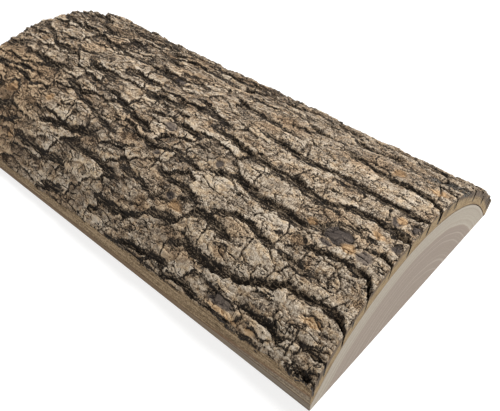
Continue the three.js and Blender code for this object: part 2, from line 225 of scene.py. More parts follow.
# Seeds of the numbers that each cell keeps to itself
CELL_SEEDS = {
    "plate_lift": 92, "plate_lean_along": 93, "plate_lean_arc": 94, "plate_ringed": 114, "plate_tone": 161,
    "plate_warm": 172, "flake_lift": 103, "flake_lean": 104, "flake_tone": 163, "chip_lift": 84,
    "chip_tone": 164,
}

# Noise: [size one way in mm, size the other way in mm, seed, layers]
NOISE = {
    "swell": [8, 1, 31, 1], "fine_swell": [2.6, 1, 32, 1], "drift_along": [15, 11, 41, 3],
    "drift_arc": [15, 11, 51, 3], "fray_along": [3.2, 3.2, 61, 2], "fray_arc": [3.2, 3.2, 71, 2],
    "fine": [1.7, 1.7, 81, 2], "chipped": [14, 9, 85, 1], "gapped": [9, 7, 95, 1], "warp": [7, 5, 96, 1],
    "edged": [12, 8, 97, 1], "flaky": [24, 15, 101, 1], "flake_gapped": [6, 6, 105, 1],
    "chip_gapped": [8, 6, 106, 1], "level": [17, 9, 111, 3], "tangled_level": [9, 8, 113, 1],
    "contoured": [10, 8, 115, 1], "long_crack": [25, 6.2, 121, 1], "long_cracked": [20, 10, 122, 1],
    "cross_crack": [7.5, 17, 123, 1], "cross_cracked": [11, 7, 124, 1], "ripple": [1.25, 4.5, 131, 1],
    "grains": [1.1, 1.1, 133, 1], "dashes": [1.3, 3.6, 134, 1], "wavy": [5, 4, 141, 2],
    "ropes": [8, 0.95, 151, 1], "rope_grains": [2.6, 1.1, 152, 1], "tone": [30, 18, 162, 3],
    "warm": [34, 16, 171, 1], "knobs": [10, 7, 181, 1], "knob_grains": [3.5, 3.5, 182, 1],
    "scab": [1.6, 1.3, 183, 2], "side_crumbs": [4, 3, 201, 3], "side_fibres": [16, 0.9, 202, 1],
    "side_upper": [9, 6, 203, 3], "side_slant": [21, 4.5, 204, 1], "side_slanted": [18, 8, 205, 1],
    "far_side_dents": [2, 2, 206, 3], "side_stain": [12, 1, 207, 1], "side_scab": [1.6, 1.3, 208, 2],
    "far_side_tone": [7, 3.5, 209, 3], "far_side_dark": [5, 2.2, 210, 3], "ring_drift": [90, 30, 301, 1],
    "ring_wave": [35, 12, 302, 1],
}


# Number helpers
def mix(a, b, share):
    return a + (b - a) * share


def ease(start, end, value):
    """0 at start and before, 1 at end and beyond, and smooth between. The end may be the lower."""
    share = np.clip((value - start) / (end - start), 0, 1)
    return share * share * (3 - 2 * share)


NOISE_TILE = 256


def noise(u, v, seed):
    """Smooth noise from about -1 to 1, with features one unit wide."""
    turns = np.random.default_rng(seed).random((NOISE_TILE, NOISE_TILE)) * 2 * np.pi
    lean_u, lean_v = np.cos(turns), np.sin(turns)
    u, v = np.broadcast_arrays(np.asarray(u, float), np.asarray(v, float))
    column, row = np.floor(u).astype(int), np.floor(v).astype(int)
    du, dv = u - column, v - row
    fade_u, fade_v = ease(0, 1, du), ease(0, 1, dv)

    def corner(i, j):
        at = ((column + i) % NOISE_TILE, (row + j) % NOISE_TILE)
        return lean_u[at] * (du - i) + lean_v[at] * (dv - j)

    lower = mix(corner(0, 0), corner(1, 0), fade_u)
    upper = mix(corner(0, 1), corner(1, 1), fade_u)
    return 1.6 * mix(lower, upper, fade_v)


def field(name, u, v):
    """The named noise at places in mm. Each further layer is half as large and half as strong."""
    size_u, size_v, seed, layers = NOISE[name]
    u, v = u / size_u, v / size_v
    return sum(noise(u * 2**k, v * 2**k, seed + k) * 0.5**k for k in range(layers))


def cells(u, v, seed, spread=0.8):
    """Cells round one random point in each unit square: how far inside its cell each place is,
    the cell's number, and the place's offset from the cell's middle."""
    middles = (1 - spread) / 2 + spread * np.random.default_rng(seed).random((2, NOISE_TILE, NOISE_TILE))
    column, row = np.floor(u).astype(int), np.floor(v).astype(int)
    nearest = np.full(u.shape, 9.0)
    second = nearest.copy()
    number = np.zeros(u.shape, int)
    offset_u, offset_v = np.zeros(u.shape), np.zeros(u.shape)
    for i in (-1, 0, 1):
        for j in (-1, 0, 1):
            c, r = (column + i) % NOISE_TILE, (row + j) % NOISE_TILE
            du = u - column - i - middles[0, c, r]
            dv = v - row - j - middles[1, c, r]
            distance = np.cbrt(np.abs(du) ** 3 + np.abs(dv) ** 3)
            closer = distance < nearest
            second = np.where(closer, nearest, np.minimum(second, distance))
            nearest = np.where(closer, distance, nearest)
            number = np.where(closer, c * NOISE_TILE + r, number)
            offset_u = np.where(closer, du, offset_u)
            offset_v = np.where(closer, dv, offset_v)
    return (second - nearest) / 2, number, offset_u, offset_v


def cell_value(name, number):
    """The named number of each cell, from 0 to 1."""
    return np.random.default_rng(CELL_SEEDS[name]).random(NOISE_TILE * NOISE_TILE)[number]


def blur(values, reach):
    """Averages a grid over squares of 2 reach + 1 points, three times over."""
    for _ in range(3):
        for axis in (0, 1):
            padding = [(reach + 1, reach) if k == axis else (0, 0) for k in (0, 1)]
            sums = np.cumsum(np.pad(values, padding, mode="edge"), axis=axis)
            length = values.shape[axis]
            width = 2 * reach + 1
            ahead = np.take(sums, np.arange(width, width + length), axis=axis)
            behind = np.take(sums, np.arange(length), axis=axis)
            values = (ahead - behind) / width
    return values


# The log's cross-section, in mm
def angle_at(radius, y):
    return math.asin((y - LOG_CENTRE["y"]) / radius)


BARK_NEAR_ANGLE = angle_at(BARK_RADIUS, NEAR_FACE_Y)
ARC_FROM = BARK_RADIUS * BARK_NEAR_ANGLE
ARC_TO = BARK_RADIUS * angle_at(BARK_RADIUS, FAR_CORNER_Y)

# The share of the arc that lies over the wood's round. The rest lies past its edge, on the underside.
OVER_WOOD_SHARE = 83 / 84


def point_on_log(radius, angle, along, drop, near_angle):
    from_near_face = radius * (angle - near_angle)
    most = mix(drop["shown_end"], drop["far_end"], along / LENGTH)
    sag = most * np.exp(-((from_near_face / drop["reach"]) ** 2))
    y = LOG_CENTRE["y"] + radius * np.sin(angle)
    z = LOG_CENTRE["z"] + radius * np.cos(angle) - sag
    return np.stack(np.broadcast_arrays(LENGTH / 2 - along, y, z), axis=-1)


def boundary_point(radius, share, along):
    """On the round boundary of the wood, from the near face (share 0) to the underside's edge (share 1)."""
    near = angle_at(radius, NEAR_FACE_Y)
    far = math.acos(-LOG_CENTRE["z"] / radius)
    return point_on_log(radius, mix(near, far, share), along, WOOD_FLANK_DROP, near)


def bark_inner_point(along, arc):
    """The bark's inside under a place on its outside. Past the wood's edge it lies on the underside."""
    share = (arc - ARC_FROM) / (ARC_TO - ARC_FROM) / OVER_WOOD_SHARE
    point = boundary_point(INNER_RADIUS, np.minimum(share, 1), along)
    point[..., 2] = np.maximum(point[..., 2], 0)
    beyond = np.clip((share - 1) / (1 / OVER_WOOD_SHARE - 1), 0, 1)[..., None]
    foot = np.broadcast_arrays(LENGTH / 2 - along, FAR_CORNER_Y - FAR_FACE_LEAN, 0 * arc)
    return mix(point, np.stack(foot, axis=-1), beyond)


def bark_outer_point(along, arc):
    return point_on_log(BARK_RADIUS, arc / BARK_RADIUS, along, BARK_FLANK_DROP, BARK_NEAR_ANGLE)


# Bark relief
def furrow_relief(along, arc, fray):
    """Depth of the furrows, how far down a wall each place is (0 to 1), and how far off the next rim."""
    depth = np.zeros_like(arc)
    wall = np.zeros_like(arc)
    rim = np.full_like(arc, 99.0)
    rows = along[:, 0]
    for number, (width, *path) in enumerate(FURROWS + EDGE_GAPS):
        places, arcs = np.reshape(path, (-1, 2)).astype(float).T
        reached = (rows >= places[0]) & (rows <= places[-1])
        here = rows[reached]
        opens = 1 if places[0] <= 0 else ease(0, FURROW_TAPER, here - places[0])
        closes = 1 if places[-1] >= LENGTH else ease(0, FURROW_TAPER, places[-1] - here)
        taper = np.minimum(opens, closes) * np.ones_like(here)
        swell = 1 + 0.3 * field("swell", here, number + 0.5) + 0.15 * field("fine_swell", here, number + 0.5)
        half_width = FURROW_HALF_SHARE * width * mix(0.3, 1, taper) * swell
        half_width *= mix(0.6, 1, ease(0, 9, here))
        middle = np.interp(here, places, arcs)
        distance = np.abs(arc[reached] - middle[:, None])
        inside = distance / half_width[:, None] + 0.1 * fray[reached]
        down = 1 - np.clip((inside - 0.62) / 0.44, 0, 1) ** 2.5
        deepest = np.minimum(DEEPEST_FURROW, width * FURROW_DEPTH_PER_WIDTH) * taper
        deepest *= mix(1, FURROW_FILL, ease(3, 16, here))
        depth[reached] = np.maximum(depth[reached], down * deepest[:, None])
        wall[reached] = np.maximum(wall[reached], down * ease(0, 0.35, taper)[:, None])
        rim[reached] = np.minimum(rim[reached], np.maximum(0, distance - half_width[:, None]))
    return depth, wall, rim


def line_distance(along, arc, path):
    """Distance in mm to a given line."""
    nearest = np.full_like(arc, 99.0)
    points = np.reshape(path, (-1, 2))
    for (a0, s0), (a1, s1) in zip(points, points[1:]):
        run = np.hypot(a1 - a0, s1 - s0)
        share = np.clip(((along - a0) * (a1 - a0) + (arc - s0) * (s1 - s0)) / run**2, 0, 1)
        nearest = np.minimum(nearest, np.hypot(along - mix(a0, a1, share), arc - mix(s0, s1, share)))
    return nearest


def steepness(values, spacing):
    return np.hypot(*np.gradient(values, *spacing))


def level_crack(values, spacing, half_width):
    """1 on the lines where the values are zero, falling to 0 at half_width in mm."""
    reach = np.abs(values) / (steepness(values, spacing) + 1e-3)
    return 1 - ease(0.35 * half_width, half_width, reach)


def patch(along, arc, place, fray, softness=0.18):
    """1 inside a ragged oval, 0 outside. place is [along, arc, half length, half width]."""
    middle_along, middle_arc, half_length, half_width = place
    reach = np.hypot((along - middle_along) / half_length, (arc - middle_arc) / half_width)
    return 1 - ease(1.06 - softness, 1.06, reach + 0.2 * fray)


def terrace(level, riser):
    """Turns a slope into flat treads, each with a riser that takes up the last share of its step."""
    whole = np.floor(level)
    return whole + ease(1 - riser, 1, level - whole)


class BarkGrid:
    """The unrolled bark on a grid. The steps below add its relief, its masks and its points."""

    def __init__(self):
        rows = np.linspace(0, LENGTH, BARK_ROWS + 1)
        columns = np.linspace(ARC_FROM, ARC_TO, len(STRIPS) * STRIP_COLUMNS + 1)
        self.spacing = (rows[1] - rows[0], columns[1] - columns[0])
        self.along, self.arc = np.meshgrid(rows, columns, indexing="ij")
        self.tangle = ease(*TANGLE["along"], self.along) * ease(*TANGLE["arc"], self.arc)
        self.far_part = ease(80, 190, self.along)
        self.platy = np.maximum(self.far_part, 0.6 * ease(-72, -88, self.arc))
        self.fine = self.noise("fine")
        self.wavy = self.noise("wavy")
        drift_along = (2.0 + 2.5 * self.tangle) * self.noise("drift_along")
        self.drift_arc = (1.1 + 1.6 * self.tangle) * self.noise("drift_arc")
        self.drifted_along = self.along + drift_along + 0.3 * self.noise("fray_along")
        self.drifted_arc = self.arc + self.drift_arc + 0.25 * self.noise("fray_arc")

    def noise(self, name):
        return field(name, self.along, self.arc)

    def drifted(self, name):
        return field(name, self.drifted_along, self.drifted_arc)

    def oval(self, place, fray, softness=0.18):
        return patch(self.along, self.arc, place, fray, softness)

    def values(self, rows, columns, inside=False):
        """The masks and unrolled places of some points, on the bark's outside or its inside."""
        found = {name: mask[rows, columns] for name, mask in self.masks.items()}
        found["unrolled"] = (self.inner_unrolled if inside else self.unrolled)[rows, columns]
        return found

    def cut_face(self, rows, columns):
        """A plain cut from the outside to the inside: its points and their values."""
        outside, inside = self.values(rows, columns), self.values(rows, columns, True)
        points = np.stack([self.outer[rows, columns], self.inner[rows, columns]], 1)
        return points, {name: np.stack([outside[name], inside[name]], 1) for name in outside}


def cut_furrows(g):
    """Furrow walls follow the outlines of small chips, so that their edges look broken."""
    g.chip_inside, g.chip, _, chip_arc = cells(
        g.along / CHIP["length"] + 0.15 * g.fine, g.arc / CHIP["width"], CHIP["seed"]
    )
    broken = g.arc + 0.6 * g.drift_arc - (0.5 - 0.2 * g.platy) * CHIP["width"] * chip_arc
    g.furrow, g.wall, g.rim = furrow_relief(g.along, broken, g.fine)


def raise_plates(g):
    """Plates parted crosswise, each at its own height and lean. The platy parts lap like shingles."""
    platy = g.platy
    warp = 0.1 * g.noise("warp")
    u, v = g.drifted_along / PLATE["length"] + warp, g.drifted_arc / PLATE["width"] + warp
    inside, g.plate, off_along, off_arc = cells(u, v, PLATE["seed"])
    inside *= PLATE["reach"]
    g.lift = cell_value("plate_lift", g.plate)
    g.scale = (0.7 + 0.3 * platy) * g.lift
    g.scale += (0.9 + 0.9 * platy) * (cell_value("plate_lean_along", g.plate) - 0.5 + 0.3 * platy) * off_along
    g.scale += (0.8 + 1.2 * platy) * (cell_value("plate_lean_arc", g.plate) - 0.5 + 0.4 * platy) * off_arc
    gap = 1 - ease(0.08 + 0.12 * platy, 0.36 + 0.24 * platy, inside + 0.12 * g.fine)
    gap *= ease(-0.25, 0.15, g.noise("gapped") + 0.16 * platy)
    # Gap lines are cracks; in the platy parts they darken only where the plates step, as painted shadow of
    # the higher plate
    drop = steepness(blur(g.scale, 1), g.spacing)
    g.gap = gap * mix(1, ease(0.18, 0.42, drop), platy)
    # Painted shadow on the lower plate beside each step, over the far part of each cell
    lower_edge = ease(2.4, 0, inside + 0.3 * g.fine)
    g.plate_edge = platy * lower_edge * ease(-0.1, 0.15, off_arc)
    g.plate_edge *= ease(-0.5, 0.1, g.noise("edged"))
    # Painted highlight along the near edge of each plate
    g.plate_rim = platy * ease(1.8, 0.4, inside) * ease(0.1, -0.15, off_arc)
    g.from_middle = np.hypot(off_along, off_arc)


def add_flakes(g):
    """Flakes are smaller and thinner than plates, and lie only here and there."""
    platy = g.platy
    g.flaky = ease(-0.15, 0.3, g.noise("flaky") + 0.5 * g.tangle + 0.3 * platy)
    u, v = g.drifted_along / FLAKE["length"] + 0.06 * g.fine, g.drifted_arc / FLAKE["width"]
    inside, g.flake, _, off_arc = cells(u, v, FLAKE["seed"])
    g.flakes = 0.4 * cell_value("flake_lift", g.flake)
    g.flakes += (0.4 + 0.8 * platy) * (cell_value("flake_lean", g.flake) - 0.5 + 0.4 * platy) * off_arc
    g.flakes *= g.flaky
    gap = (1 - ease(0.02, 0.07 + 0.03 * platy, inside)) * g.flaky
    gap *= ease(0.0, 0.2, g.noise("flake_gapped"))
    # The flake gaps fade on the far side of each flake and stay dark on its near side, as painted shadow
    g.flake_gap = gap * mix(1, ease(0.1, -0.2, off_arc), mix(0.6, 1, platy))
    # Painted highlight along the near edge of each flake, and painted shade along its far edge
    g.flake_rim = g.flaky * ease(0.2, 0, inside) * np.clip(-2 * off_arc, -1, 1)


def add_layers(g):
    """Thin treads that follow rounded outlines, with rings on some plates."""
    level = 2.1 * g.drifted("level") + 2.2 * g.lift
    g.level = level + 1.2 * g.tangle * g.drifted("tangled_level")
    g.layers = (0.42 + 0.2 * g.platy) * terrace(g.level, 0.1)
    step = np.abs(g.level - np.round(g.level)) / (steepness(g.level, g.spacing) + 1e-3)
    g.contour = ease(0.4, 0.12, step)
    g.contour *= ease(0.05, 0.3, g.noise("contoured") + 0.25 * g.far_part)
    ringed = ease(0.55, 0.75, cell_value("plate_ringed", g.plate))
    g.layers += ringed * 0.22 * terrace(4.2 * g.from_middle + 0.3 * g.fine, 0.25)


def add_cracks(g):
    """Long thin cracks between the furrows, and short ones across the plates."""
    long = level_crack(g.drifted("long_crack"), g.spacing, 0.42)
    long *= ease(0.15, 0.35, g.noise("long_cracked"))
    cross = level_crack(g.drifted("cross_crack"), g.spacing, 0.36)
    cross *= ease(0.42, 0.6, g.noise("cross_cracked"))
    placed = np.full_like(g.arc, 99.0)
    for path in CROSS_CRACKS:
        placed = np.minimum(placed, line_distance(g.drifted_along, g.drifted_arc, path))
    placed = ease(0.8, 0.3, placed)
    chip_gap = ease(0.09, 0.03, g.chip_inside)
    chip_gap *= ease(0.1, 0.35, g.noise("chip_gapped"))
    gaps = [g.gap, 0.75 * g.flake_gap, 0.6 * chip_gap]
    # The crack mask also carries the painted shadows of the plate and flake gaps
    g.crack = np.maximum.reduce([long, 0.8 * cross, placed, *gaps])


def place_scars(g):
    """Scars are smooth, a little lower, and the deep ones get a painted shadow inside their far rim."""
    g.stains = {stain: np.zeros_like(g.arc) for stain in ("purple", "ochre", "brown")}
    g.smooth, g.scar_depth, g.outline, g.sunburn = np.zeros((4, *g.arc.shape))
    for *place, depth, stain in SCARS:
        along, arc, half_length, half_width = place
        oval = g.oval(place, g.wavy, 0.2 if depth > 0.8 else 0.5)
        around = [along, arc, 1.5 * half_length, 1.4 * half_width]
        halo = 0.8 * g.oval(around, 2.0 * g.wavy, 0.7)
        g.stains["brown"] = np.maximum(g.stains["brown"], halo)
        for kept in g.stains.values():
            kept *= 1 - oval
        g.stains[stain] = np.maximum(g.stains[stain], oval)
        g.sunburn += (stain == "brown") * oval
        g.smooth = np.maximum(g.smooth, oval)
        g.scar_depth = np.maximum(g.scar_depth, depth * oval)
        # Painted shadow inside the far rim of each deep scar
        edge = 4 * oval * (1 - oval) * (g.arc > arc) * (depth > 0.55)
        g.outline = np.maximum(g.outline, edge)


def set_depth(g):
    """The depth of everything together."""
    along, arc, fine, smooth = g.along, g.arc, g.fine, g.smooth
    chips = 0.16 * cell_value("chip_lift", g.chip) * ease(-0.1, 0.3, g.noise("chipped"))
    plates = g.scale + g.flakes + chips + 0.8 * g.layers
    plates = mix(plates, blur(plates, 5), 0.75 * smooth)
    g.weathered = g.oval(WEATHERED, g.wavy)
    plates = mix(plates, blur(plates, 7), 0.6 * g.weathered)
    top = np.percentile(plates, 4)
    grains = mix(1, 0.3, smooth) * (0.03 * fine + 0.07 * g.noise("grains"))
    depth = np.maximum(0, plates - top + 0.4 * g.crack + 0.06 * g.noise("ripple") + grains)
    shoulder = 0.5 * ease(3.2, 0, g.rim) ** 2
    depth += shoulder + g.scar_depth + WEATHERED_GROOVE * g.weathered
    depth += 0.7 * g.crack * (1 - g.wall)
    knobs = ease(0.0, 0.35, g.noise("knobs")) + 0.4 * np.abs(g.noise("knob_grains"))
    depth += 1.7 * knobs * ease(38, 56, arc)
    g.scab = g.oval(SCAB, g.wavy, 0.4) * ease(-0.6, 0.2, g.noise("scab"))
    depth += 0.9 * g.scab

    # Furrow floors are ropy along the log
    ropes = 0.75 * field("ropes", along, arc + g.drift_arc) + 0.45 * g.noise("rope_grains")
    floor = np.maximum(depth, g.furrow + g.wall * ropes)
    depth = mix(depth, floor, ease(0, 0.25, g.wall))
    g.hollow = np.maximum.reduce([g.oval(place, g.wavy) for place in HOLLOWS])
    depth = mix(depth, HOLLOW_DEPTH + 0.6 * fine, g.hollow)

    # The sawn faces leave a slightly crumbled edge
    for from_face in (along, LENGTH - along, arc - ARC_FROM):
        depth += 0.45 * np.exp(-((from_face / 0.7) ** 2)) * (1 + fine)
    g.depth = np.clip(depth, 0, BARK_THICKNESS - THINNEST_BARK)


def find_tone(g, crevice, pale):
    """How light each place is, around 0.5, with painted shade and highlights from the relief."""
    along, arc, platy = g.along, g.arc, g.platy
    hollow_side = g.depth - blur(g.depth, 8)
    tone = 0.5 + (0.26 + 0.12 * platy) * (cell_value("plate_tone", g.plate) - 0.5)
    tone += 0.14 * g.noise("tone")
    tone += (0.1 + 0.12 * g.flaky) * (cell_value("flake_tone", g.flake) - 0.5)
    tone += 0.18 * (cell_value("chip_tone", g.chip) - 0.5)
    tone += 0.14 * (g.level - np.floor(g.level) - 0.5)
    tone -= 0.12 * ease(60, 200, along)
    tone -= 0.16 * ease(60, 160, along) * ease(-10, 50, arc)
    tone -= 0.12 * ease(28, 56, arc)
    tone -= 0.1 * ease(-35, -10, arc) * ease(110, 40, along)
    # Painted shade on the plates beside the furrows
    tone -= 0.12 * ease(1.4, 0, g.rim + 0.6 * g.fine)
    # Painted shadow and highlight along the plate edges, and painted highlight and shade along the flake
    # edges
    tone += 0.04 * platy - 0.3 * g.plate_edge + 0.16 * g.plate_rim - 0.14 * g.sunburn
    tone += (0.14 + 0.16 * platy) * g.flake_rim + 0.16 * pale - 0.2 * g.weathered
    # Painted shade in crevices and hollows, and painted highlight on the small rises between them
    return tone - 0.5 * np.clip(crevice, -0.35, 0.6) - 0.08 * np.clip(hollow_side, -1.5, 3)


def set_masks(g):
    """What the materials read: dark gaps and floors, painted shade in crevices, painted highlights on rims.
    """
    along, arc = g.along, g.arc
    bare = 1 - g.smooth
    crevice = g.depth - blur(g.depth, 2)
    pale = np.maximum.reduce([g.oval(place, 3 * g.wavy) for place in PALE_PATCHES])
    dashes = ease(0.5, 0.7, g.drifted("dashes") - 0.3 * g.platy)
    dark = [
        ease(0.0, 0.25, g.wall),
        g.hollow,
        ease(0.35, 0.9, g.crack) * (1 - 0.85 * g.smooth),
        # Painted shadow inside the far rim of deep scars
        0.8 * g.outline,
        0.9 * g.scab,
        0.7 * dashes * bare,
        0.75 * g.contour * (1 - 0.7 * g.smooth),
        # Painted shade in the deeper crevices
        ease(0.4, 0.9, crevice),
    ]
    warm = ease(0.1, 0.7, g.noise("warm") + 0.3 * (cell_value("plate_warm", g.plate) - 0.5))
    far_corner = ease(250, 300, along) * ease(-20, -38, arc)
    warm = np.maximum(0.75 * warm, far_corner) * (1 - 0.8 * pale)
    # The painted shadow beside plate steps is also tinted browner
    warm = np.maximum(warm, 0.7 * g.plate_edge)
    g.masks = {
        "tone": find_tone(g, crevice, pale),
        "dark": np.maximum.reduce(dark),
        "purple": g.stains["purple"],
        "ochre": g.stains["ochre"],
        "brown": np.maximum(g.stains["brown"], warm),
        "weathered": g.weathered,
        "platy": g.platy,
        "long_side": np.zeros_like(arc),
    }


def set_points(g):
    """The bark's points on the log, and each one's unrolled place: along, arc, and height over the wood."""
    g.inner = bark_inner_point(g.along, g.arc)
    round_point = bark_outer_point(g.along, g.arc)
    thickness = np.linalg.norm(round_point - g.inner, axis=-1)
    share = g.depth / (BARK_RADIUS - INNER_RADIUS)
    g.outer = mix(round_point, g.inner, share[..., None])
    g.normals = grid_normals(g.outer)
    g.unrolled = np.stack([g.along, g.arc, thickness * (1 - share)], -1)
    g.inner_unrolled = np.stack([g.along, g.arc, 0 * g.arc], -1)


STEPS = [
    cut_furrows, raise_plates, add_flakes, add_layers, add_cracks,
    place_scars, set_depth, set_masks, set_points,
]


# Meshes are gathered as sheets of points, which are then welded along their shared edges.
# Each sheet has a box of its own, (u from, v from, u to, v to), in the OFBake UV map.
U_FROM, U_TO = 0.005, 0.995
UV_GAP = 0.01
END_UV = {"shown_end": 0.005, "far_end": 0.505, "width": 0.49, "height": 0.05}
HIDDEN_UV = (U_FROM, 0.975, U_TO, 0.995)


class Shell:
    def __init__(self):
        self.points = []
        self.normals = []
        self.values = {}
        self.uvs = []
        self.triangles = []
        self.materials = []
        self.count = 0

    def sheet(self, points, triangles, normals, values, uvs, material):
        flat = points.reshape(-1, 3)
        self.points.append(flat)
        self.normals.append(normals.reshape(-1, 3))
        self.uvs.append(uvs.reshape(-1, 2))
        for name, value in values.items():
            self.values.setdefault(name, []).append(value.reshape(len(flat), -1))
        self.triangles.append(triangles + self.count)
        self.materials.append(np.full(len(triangles), material))
        self.count += len(flat)

    def grid(self, points, values, uv_box, material=0, flip=False, normals=None):
        """A sheet from a grid of points. Each square is split along its shorter diagonal."""
        rows, columns = points.shape[:2]
        index = np.arange(rows * columns).reshape(rows, columns)
        a, b, c, d = (index[:-1, :-1], index[:-1, 1:], index[1:, 1:], index[1:, :-1])
        across = np.linalg.norm(points[:-1, :-1] - points[1:, 1:], axis=-1)
        other = np.linalg.norm(points[:-1, 1:] - points[1:, :-1], axis=-1)
        first = (across <= other)[..., None]
        half = np.where(first, np.stack([a, b, c], -1), np.stack([a, b, d], -1))
        rest = np.where(first, np.stack([a, c, d], -1), np.stack([b, c, d], -1))
        triangles = np.concatenate([half.reshape(-1, 3), rest.reshape(-1, 3)])
        if flip:
            triangles = triangles[:, ::-1]
        if normals is None:
            normals = grid_normals(points) * (-1 if flip else 1)
        u = np.linspace(uv_box[0], uv_box[2], rows)
        v = np.linspace(uv_box[1], uv_box[3], columns)
        uvs = np.stack(np.meshgrid(u, v, indexing="ij"), -1)
        self.sheet(points, triangles, normals, values, uvs, material)

    def fill(self, points, values, uvs, material=0, flip=False):
        """Fills between a finely divided line and two corners across from its ends, the last two points."""
        last = len(points) - 2
        steps = np.arange(last - 1)
        triangles = np.stack([steps, np.full_like(steps, last), steps + 1], -1)
        triangles = np.concatenate([triangles, [[last, last + 1, last - 1]]])
        if flip:
            triangles = triangles[:, ::-1]
        a, b, c = points[triangles[-1]]
        normal = np.cross(b - a, c - a)
        normals = np.tile(normal / np.linalg.norm(normal), (len(points), 1))
        self.sheet(points, triangles, normals, values, uvs, material)

    def build(self, name, materials):
        points = np.concatenate(self.points)
        corners = np.concatenate(self.triangles)
        places = np.round(points * 1e4).astype(np.int64)
        _, first, welded = np.unique(places, axis=0, return_index=True, return_inverse=True)
        kept = welded.reshape(-1)[corners]
        solid = (kept[:, 0] != kept[:, 1]) & (kept[:, 1] != kept[:, 2]) & (kept[:, 2] != kept[:, 0])
        corners, kept = corners[solid], kept[solid]
        mesh = bpy.data.meshes.new(name)
        mesh.vertices.add(len(first))
        mesh.vertices.foreach_set("co", (points[first] * MM).ravel())
        mesh.loops.add(kept.size)
        mesh.loops.foreach_set("vertex_index", kept.ravel())
        mesh.polygons.add(len(kept))
        mesh.polygons.foreach_set("loop_start", np.arange(0, kept.size, 3))
        for material in materials:
            mesh.materials.append(material)
        mesh.polygons.foreach_set("material_index", np.concatenate(self.materials)[solid])
        mesh.update(calc_edges=True)
        layer = mesh.uv_layers.new(name="OFBake")
        layer.data.foreach_set("uv", np.concatenate(self.uvs)[corners].ravel())
        for key, parts in self.values.items():
            value = np.concatenate(parts)[first]
            kind, slot = ("FLOAT", "value") if value.shape[1] == 1 else ("FLOAT_VECTOR", "vector")
            attribute = mesh.attributes.new(key, kind, "POINT")
            attribute.data.foreach_set(slot, value.astype(np.float32).ravel())
        mesh.shade_smooth()
        mesh.normals_split_custom_set(np.concatenate(self.normals)[corners].reshape(-1, 3).tolist())
        piece = bpy.data.objects.new(name, mesh)
        bpy.context.scene.collection.objects.link(piece)
        return piece


def grid_normals(points):
    down = np.diff(points, axis=0, append=2 * points[-1:] - points[-2:-1])
    across = np.diff(points, axis=1, append=2 * points[:, -1:] - points[:, -2:-1])
    normals = np.cross(across, down)
    return normals / np.maximum(np.linalg.norm(normals, axis=-1, keepdims=True), 1e-9)


def halves(low_v, height):
    """The two halves of a full-length face, shown end first, each with its own box."""
    middle = BARK_ROWS // 2
    upper = low_v + height + UV_GAP
    yield slice(0, middle + 1), (U_FROM, low_v, U_TO, low_v + height)
    yield slice(middle, None), (U_FROM, upper, U_TO, upper + height)


def divided_edge(pairs, edge, inward):
    """For Shell.fill: one pair drawn out in steps, then the pair beside it."""
    steps = np.linspace(0, 1, FACE_ROWS + 1).reshape(-1, *[1] * (pairs.ndim - 2))
    return np.concatenate([mix(pairs[edge, :1], pairs[edge, 1:], steps), pairs[inward]])


def long_edge(grid, edge, inward):
    """For Shell.fill: a column of a grid, then the two ends of the column beside it."""
    return np.concatenate([grid[:, edge], grid[::BARK_ROWS, inward]])


def sawn_end(shell, bark, cut, row, low_u, low_v, near, far, flip):
    """A sawn end, left finely divided where it meets a face on a long side."""
    points, values = bark.cut_face(row, cut)
    # The outer edge keeps the bark's dark mask, painted shade and shadows included
    values["dark"] = values["dark"] * np.array([1, 0])
    high_v = low_v + END_UV["height"]
    place_u = low_u + END_UV["width"] * np.linspace(0, 1, STRIP_COLUMNS + 1)
    kept = slice(1 if near else 0, STRIP_COLUMNS if far else STRIP_COLUMNS + 1)
    box = (place_u[kept][0], low_v, place_u[kept][-1], high_v)
    shell.grid(points[kept], {name: value[kept] for name, value in values.items()}, box, 1, flip)
    for edge, inward, shown in ((0, 1, near), (-1, -2, far)):
        if shown:
            u = np.append(np.full(FACE_ROWS + 1, place_u[edge]), [place_u[inward]] * 2)
            v = low_v + END_UV["height"] * np.append(np.linspace(0, 1, FACE_ROWS + 1), [0, 1])
            edge_values = {name: divided_edge(value, edge, inward) for name, value in values.items()}
            edge_points = divided_edge(points, edge, inward)
            shell.fill(edge_points, edge_values, np.stack([u, v], -1), 1, flip == (edge == -1))


def underside(shell, bark, cut):
    """The inside along the wood: coarse in the middle, and as fine as its neighbours at its edges."""
    points, values = bark.inner[:, cut], bark.values(slice(None), cut, True)
    middle = {name: value[::BARK_ROWS, 1:-1] for name, value in values.items()}
    shell.grid(points[::BARK_ROWS, 1:-1], middle, HIDDEN_UV, 1, True)
    u = np.append(np.linspace(U_FROM, U_TO, BARK_ROWS + 1), [U_FROM, U_TO])
    v = np.append(np.full(BARK_ROWS + 1, HIDDEN_UV[1]), [HIDDEN_UV[3], HIDDEN_UV[3]])
    for edge, inward, flip in ((0, 1, True), (-1, -2, False)):
        edge_values = {name: long_edge(value, edge, inward) for name, value in values.items()}
        shell.fill(long_edge(points, edge, inward), edge_values, np.stack([u, v], -1), 1, flip)


def bark_strip(bark, number, materials):
    near, far = number == 0, number == len(STRIPS) - 1
    cut = slice(number * STRIP_COLUMNS, (number + 1) * STRIP_COLUMNS + 1)
    shell = Shell()
    height = 0.33 if near else 0.43
    for rows, box in halves(0.005, height):
        shell.grid(bark.outer[rows, cut], bark.values(rows, cut), box, 0, False, bark.normals[rows, cut])
    ends_v = 2 * height + 0.03
    sawn_end(shell, bark, cut, 0, END_UV["shown_end"], ends_v, near, far, False)
    sawn_end(shell, bark, cut, -1, END_UV["far_end"], ends_v, near, far, True)

    # Long sides: the sawn near face, the rough far edge, and plain cuts where two strips meet
    for column, shown, flip in ((cut.start, near, True), (cut.stop - 1, far, False)):
        if shown:
            side_face(shell, bark, column, ends_v + END_UV["height"] + UV_GAP, flip)
        else:
            shell.grid(*bark.cut_face(slice(None), column), HIDDEN_UV, 1, flip)
    underside(shell, bark, cut)
    return shell.build(f"bark_{STRIPS[number]}", materials)


